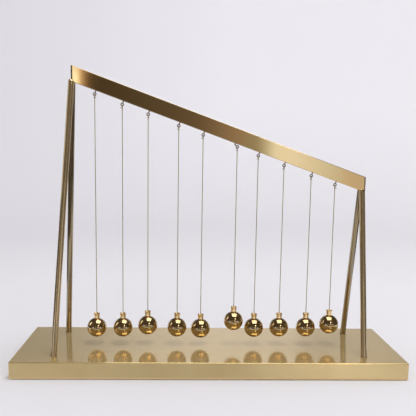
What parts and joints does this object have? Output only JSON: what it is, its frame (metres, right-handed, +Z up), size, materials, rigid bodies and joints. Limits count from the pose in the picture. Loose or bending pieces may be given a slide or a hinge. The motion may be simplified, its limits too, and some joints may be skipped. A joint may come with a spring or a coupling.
{
  "type": "kinetic pendulum sculpture",
  "caption": "Brass desk sculpture: polished balls hang on single threads from a sloping beam that stands on leaning rod legs over a low box base.",
  "frame": {"origin": "middle of the base's underside, on the surface it stands on", "axes": "+X along the base towards the low end of the beam, +Y from the front to the back, +Z up"},
  "size_m": [0.6096, 0.2032, 0.4719],
  "materials": {
    "polished_brass": "polished, with faint smudges and a few fine scratches",
    "ball_brass": "mirror polished, darker and warmer than the frame",
    "collar_brass": "polished, pale gold",
    "eye_brass": "tarnished wire",
    "thread": "twisted thread",
    "board": "sanded board"
  },
  "bodies": {
    "stand": {"base_shell": "polished_brass", "base_core": "board", "leg_front_left": "polished_brass", "leg_back_left": "polished_brass", "leg_front_right": "polished_brass", "leg_back_right": "polished_brass", "beam": "polished_brass", "beam_end_cap_left": "polished_brass", "beam_end_cap_right": "polished_brass", "screw_eyes": "eye_brass"},
    "hanger_01": {"loop_01": "thread"},
    "pendulum_01": {"string_01": "thread", "cap_01": "collar_brass", "ball_01": "ball_brass"},
    "hanger_02": {"loop_02": "thread"},
    "pendulum_02": {"string_02": "thread", "cap_02": "collar_brass", "ball_02": "ball_brass"},
    "hanger_03": {"loop_03": "thread"},
    "pendulum_03": {"string_03": "thread", "cap_03": "collar_brass", "ball_03": "ball_brass"},
    "hanger_04": {"loop_04": "thread"},
    "pendulum_04": {"string_04": "thread", "cap_04": "collar_brass", "ball_04": "ball_brass"},
    "hanger_05": {"loop_05": "thread"},
    "pendulum_05": {"string_05": "thread", "cap_05": "collar_brass", "ball_05": "ball_brass"},
    "hanger_06": {"loop_06": "thread"},
    "pendulum_06": {"string_06": "thread", "cap_06": "collar_brass", "ball_06": "ball_brass"},
    "hanger_07": {"loop_07": "thread"},
    "pendulum_07": {"string_07": "thread", "cap_07": "collar_brass", "ball_07": "ball_brass"},
    "hanger_08": {"loop_08": "thread"},
    "pendulum_08": {"string_08": "thread", "cap_08": "collar_brass", "ball_08": "ball_brass"},
    "hanger_09": {"loop_09": "thread"},
    "pendulum_09": {"string_09": "thread", "cap_09": "collar_brass", "ball_09": "ball_brass"},
    "hanger_10": {"loop_10": "thread"},
    "pendulum_10": {"string_10": "thread", "cap_10": "collar_brass", "ball_10": "ball_brass"}
  },
  "joints": [
    {"name": "sway_01", "type": "hinge", "parent": "stand", "child": "hanger_01", "pos_m": [-0.1843, 0, 0.42953], "axis": [0, -1, 0], "range_deg": [-5.44, 1.62]},
    {"name": "swing_01", "type": "hinge", "parent": "hanger_01", "child": "pendulum_01", "pos_m": [-0.1843, 0, 0.42743], "axis": [1, 0, 0], "range_deg": [-75, 75]},
    {"name": "sway_02", "type": "hinge", "parent": "stand", "child": "hanger_02", "pos_m": [-0.1414, 0, 0.41438], "axis": [0, -1, 0], "range_deg": [-1.69, 1.36]},
    {"name": "swing_02", "type": "hinge", "parent": "hanger_02", "child": "pendulum_02", "pos_m": [-0.1414, 0, 0.41228], "axis": [1, 0, 0], "range_deg": [-75, 75]},
    {"name": "sway_03", "type": "hinge", "parent": "stand", "child": "hanger_03", "pos_m": [-0.1008, 0, 0.40004], "axis": [0, -1, 0], "range_deg": [-1.44, 2.73]},
    {"name": "swing_03", "type": "hinge", "parent": "hanger_03", "child": "pendulum_03", "pos_m": [-0.1008, 0, 0.39794], "axis": [1, 0, 0], "range_deg": [-75, 75]},
    {"name": "sway_04", "type": "hinge", "parent": "stand", "child": "hanger_04", "pos_m": [-0.0525, 0, 0.38298], "axis": [0, -1, 0], "range_deg": [-2.83, 1.15]},
    {"name": "swing_04", "type": "hinge", "parent": "hanger_04", "child": "pendulum_04", "pos_m": [-0.0525, 0, 0.38088], "axis": [1, 0, 0], "range_deg": [-75, 75]},
    {"name": "sway_05", "type": "hinge", "parent": "stand", "child": "hanger_05", "pos_m": [-0.0137, 0, 0.36928], "axis": [0, -1, 0], "range_deg": [-1.19, 4.49]},
    {"name": "swing_05", "type": "hinge", "parent": "hanger_05", "child": "pendulum_05", "pos_m": [-0.0137, 0, 0.36718], "axis": [1, 0, 0], "range_deg": [-75, 75]},
    {"name": "sway_06", "type": "hinge", "parent": "stand", "child": "hanger_06", "pos_m": [0.0409, 0, 0.35168], "axis": [0, -1, 0], "range_deg": [-5.17, 0.77]},
    {"name": "swing_06", "type": "hinge", "parent": "hanger_06", "child": "pendulum_06", "pos_m": [0.0409, 0, 0.34958], "axis": [1, 0, 0], "range_deg": [-75, 75]},
    {"name": "sway_07", "type": "hinge", "parent": "stand", "child": "hanger_07", "pos_m": [0.0749, 0, 0.33799], "axis": [0, -1, 0], "range_deg": [-0.77, 1.95]},
    {"name": "swing_07", "type": "hinge", "parent": "hanger_07", "child": "pendulum_07", "pos_m": [0.0749, 0, 0.33589], "axis": [1, 0, 0], "range_deg": [-75, 75]},
    {"name": "sway_08", "type": "hinge", "parent": "stand", "child": "hanger_08", "pos_m": [0.1168, 0, 0.32319], "axis": [0, -1, 0], "range_deg": [-2.07, 2.65]},
    {"name": "swing_08", "type": "hinge", "parent": "hanger_08", "child": "pendulum_08", "pos_m": [0.1168, 0, 0.32109], "axis": [1, 0, 0], "range_deg": [-75, 75]},
    {"name": "sway_09", "type": "hinge", "parent": "stand", "child": "hanger_09", "pos_m": [0.1614, 0, 0.30744], "axis": [0, -1, 0], "range_deg": [-2.82, 1.63]},
    {"name": "swing_09", "type": "hinge", "parent": "hanger_09", "child": "pendulum_09", "pos_m": [0.1614, 0, 0.30534], "axis": [1, 0, 0], "range_deg": [-75, 75]},
    {"name": "sway_10", "type": "hinge", "parent": "stand", "child": "hanger_10", "pos_m": [0.2004, 0, 0.29367], "axis": [0, -1, 0], "range_deg": [-1.77, 5.25]},
    {"name": "swing_10", "type": "hinge", "parent": "hanger_10", "child": "pendulum_10", "pos_m": [0.2004, 0, 0.29157], "axis": [1, 0, 0], "range_deg": [-75, 75]}
  ]
}
